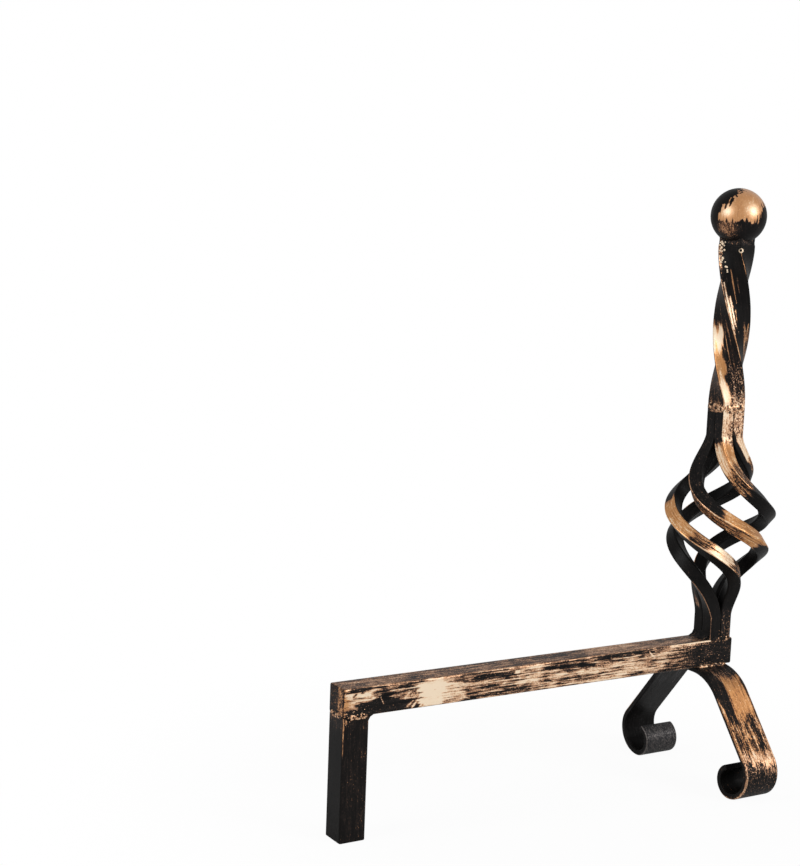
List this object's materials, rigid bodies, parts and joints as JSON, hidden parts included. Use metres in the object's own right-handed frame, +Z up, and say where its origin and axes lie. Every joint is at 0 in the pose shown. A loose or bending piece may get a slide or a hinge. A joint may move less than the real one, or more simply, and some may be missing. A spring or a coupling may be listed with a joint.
{
  "type": "andiron",
  "caption": "Free-standing andiron: square log bar on a rear leg and two scrolled front legs, with an upright of twisted open basket, twisted bar and ball.",
  "frame": {"origin": "middle of the footprint on the hearth, which is the bottom centre of the bounding box; the upright's axis stands 141.4 mm in front of it", "axes": "+Z up, X across the hearth from leg to leg, +Y from the upright towards the back of the fire, along the log bar"},
  "size_m": [0.148, 0.3689, 0.4466],
  "materials": {
    "copper_on_black": "satin black paint dry-brushed with copper along the length, wearing to pale cream copper in patches",
    "black_iron": "fine-textured satin black paint with thin copper lines on the edges",
    "weld_metal": "lumpy weld beads, black paint with copper on the high spots"
  },
  "bodies": {
    "root": {"log_bar": "copper_on_black", "rear_leg": "black_iron", "left_front_leg": "copper_on_black", "right_front_leg": "black_iron", "basket_rod_1": "copper_on_black", "basket_rod_2": "copper_on_black", "basket_rod_3": "copper_on_black", "basket_rod_4": "copper_on_black", "twisted_bar": "copper_on_black", "ball_finial": "copper_on_black", "rear_leg_weld": "weld_metal", "front_leg_weld": "weld_metal", "post_weld": "weld_metal", "collar_weld": "weld_metal", "ball_weld": "weld_metal"}
  },
  "joints": []
}
